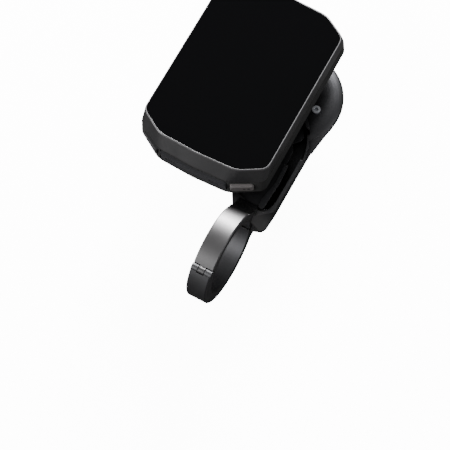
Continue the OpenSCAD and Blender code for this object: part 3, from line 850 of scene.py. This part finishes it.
@dataclass
class PortCover(SubAssembly):
    """The rubber cover over the charging port.

    Attributes:
        dress: The finish of each node.
        recess_x: Distance of each finger recess from the middle.
        rib_step: Distance between the ribs in a recess.
        rib_w: Width of a rib.
        rib_len: Length of a rib, along Z.
        rib_h: Height of a rib above the floor of its recess.
        recess_back: Distance of the recess floor behind the cover's face.
        rib_sink: How far a rib is sunk in the floor.
        rib_bevel: Width of the bevel round its top.
    """

    dress: dict[str, Finish] = field(default_factory=lambda: {"port_cover": PORT_RUBBER})
    recess_x: float = 10.0 * MM
    rib_step: float = 1.1 * MM
    rib_w: float = 0.35 * MM
    rib_len: float = 1.2 * MM
    rib_h: float = 0.25 * MM
    recess_back: float = 0.5 * MM
    rib_sink: float = 0.2 * MM
    rib_bevel: float = 0.06 * MM

    def detail(self) -> None:
        """Add three moulded ribs in each finger recess."""
        low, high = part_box("port_cover")
        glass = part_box("cover_glass")
        middle = (glass[0][0] + glass[1][0]) / 2
        out = Vector((0, -1, 0))
        floor = Vector((middle, low[1] + self.recess_back, (low[2] + high[2]) / 2))
        plane = Plane(floor, Vector((1, 0, 0)), Vector((0, 0, 1)), out)
        mesh = bmesh.new()
        for side in (-1, 1):
            for step in (-1, 0, 1):
                x = side * self.recess_x + step * self.rib_step
                half, tall = self.rib_w / 2, self.rib_len / 2
                ends = [(x + half * math.cos(math.radians(a)),
                         (tall if a <= 180 else -tall) + half * math.sin(math.radians(a)))
                        for a in range(0, 360, 30)]
                plane.pad(mesh, ends, self.rib_sink, self.rib_h, self.rib_bevel)
        add_piece("port_cover_ribs", mesh, "port_flap", PORT_RUBBER)


# ---------------------------------------------------------------------------
# Studio
# ---------------------------------------------------------------------------
@dataclass(frozen=True)
class SoftBox:
    """A square soft light.

    Attributes:
        name: The light's name.
        place: Where it hangs.
        aim: What it points at.
        size: Its side.
        power: Its power in watts.
    """

    name: str
    place: Colour
    aim: Colour
    size: float
    power: float

    def build(self) -> None:
        """Hang the light."""
        data = bpy.data.lights.new(self.name, "AREA")
        data.shape = "SQUARE"
        data.size = self.size
        data.energy = self.power
        lamp = bpy.data.objects.new(self.name, data)
        lamp.location = self.place
        toward = Vector(self.aim) - Vector(self.place)
        lamp.rotation_euler = toward.to_track_quat("-Z", "Y").to_euler()
        bpy.context.collection.objects.link(lamp)


SOFT_BOXES = (
    SoftBox("front", (-0.22, 0.9, 0.42), (0, 0.0, 0), 0.35, 36.0),
    SoftBox("right", (0.95, 0.25, 0.6), (0, 0.04, 0), 0.6, 2.0),
    SoftBox("rider", (-0.62, -0.6, 0.5), (0, 0.02, 0), 0.5, 10.0),
)


@dataclass
class Studio:
    """A pale floor, soft lights and the camera.

    Attributes:
        azimuth: Camera's turn from looking along +Y towards -X, in degrees.
        elevation: Its height above the horizon, in degrees.
        roll: Its turn about its own line of sight, in degrees.
        distance: From the camera to the point that it looks at.
        aim: That point.
        lens: Focal length in millimetres on a 36 mm sensor.
        floor_drop: Gap between the object's lowest point and the floor.
        floor_size: Side of the floor.
        sky_light: Strength of the even light from all round.
        floor_glow: Light that the floor gives the camera, so that it reads as white paper.
        floor_shade: The floor's colour as the object sees it.
    """

    azimuth: float = 40.4
    elevation: float = 70.7
    roll: float = 12.0
    distance: float = 0.5174
    aim: tuple[float, float, float] = (-0.00424, 0.01077, 0.0)
    lens: float = 103.2
    floor_drop: float = 4 * MM
    floor_size: float = 6.0
    sky_light: float = 0.36
    floor_glow: float = 12.0
    floor_shade: Colour = (0.06, 0.06, 0.06)

    def camera(self) -> bpy.types.Object:
        """Add the camera and make it the scene's.

        Returns:
            The camera object.
        """
        turn, rise = math.radians(self.azimuth), math.radians(self.elevation)
        look = Vector((-math.sin(turn) * math.cos(rise), math.cos(turn) * math.cos(rise),
                       -math.sin(rise)))
        level = Vector((math.cos(turn), math.sin(turn), 0.0))
        upward = level.cross(look)
        spin = Matrix.Rotation(math.radians(self.roll), 3, look)
        axes = Matrix((spin @ level, spin @ upward, -look)).transposed()
        data = bpy.data.cameras.new("camera")
        data.lens = self.lens
        data.sensor_width = 36.0
        data.clip_start = 0.01
        eye = bpy.data.objects.new("camera", data)
        place = Vector(self.aim) - look * self.distance
        eye.matrix_world = Matrix.Translation(place) @ axes.to_4x4()
        bpy.context.collection.objects.link(eye)
        bpy.context.scene.camera = eye
        return eye

    def build(self) -> None:
        """Add the floor, the lights, the surroundings and the camera."""
        self.floor()
        for box in SOFT_BOXES:
            box.build()
        self.sky()
        self.camera()

    def floor(self) -> None:
        """Add a large paper floor a little below the object."""
        floor_z = CAD_BOUNDS[0][2] - self.floor_drop
        mesh = bpy.data.meshes.new("floor")
        half = self.floor_size / 2
        mesh.from_pydata([(-half, -half, floor_z), (half, -half, floor_z), (half, half, floor_z),
                          (-half, half, floor_z)], [], [(0, 1, 2, 3)])
        floor = bpy.data.objects.new("floor", mesh)
        bpy.context.collection.objects.link(floor)
        mat = bpy.data.materials.new("floor_paper")
        mat.use_nodes = True
        graph = Graph(mat.node_tree)
        shader = mat.node_tree.nodes["Principled BSDF"]
        shader.inputs["Roughness"].default_value = 0.9
        shader.inputs["Specular IOR Level"].default_value = 0.1
        shader.inputs["Emission Color"].default_value = (1, 1, 1, 1)
        seen = graph.add("ShaderNodeLightPath")
        graph.link(graph.math("MULTIPLY", seen.outputs["Is Camera Ray"], self.floor_glow),
                   shader.inputs["Emission Strength"])
        fibre = graph.add("ShaderNodeTexNoise", Scale=60.0, Detail=6.0)
        paper = graph.blend(fibre.outputs["Fac"], (0.9, 0.9, 0.9), (0.94, 0.94, 0.94))
        graph.link(graph.blend(seen.outputs["Is Camera Ray"], self.floor_shade, paper),
                   shader.inputs["Base Color"])
        mesh.materials.append(mat)

    def sky(self) -> None:
        """Add the even light from all round, whiter where the camera sees it."""
        world = bpy.data.worlds.new("studio")
        world.use_nodes = True
        sky = world.node_tree.nodes["Background"]
        sky.inputs["Color"].default_value = (1, 1, 1, 1)
        graph = Graph(world.node_tree)
        seen = graph.add("ShaderNodeLightPath")
        glow = graph.math("MULTIPLY", seen.outputs["Is Camera Ray"], self.floor_glow)
        graph.link(graph.math("ADD", glow, self.sky_light), sky.inputs["Strength"])
        bpy.context.scene.world = world


def main() -> None:
    """Build the scene in order."""
    logging.basicConfig(level=logging.INFO, format="%(name)s: %(message)s")
    Studio().build()
    for part in (BarMount(), ClampStrap(), DisplayStack(), RearHousing(), Keys(), PortCover()):
        part.build()


if __name__ == "__main__":
    main()
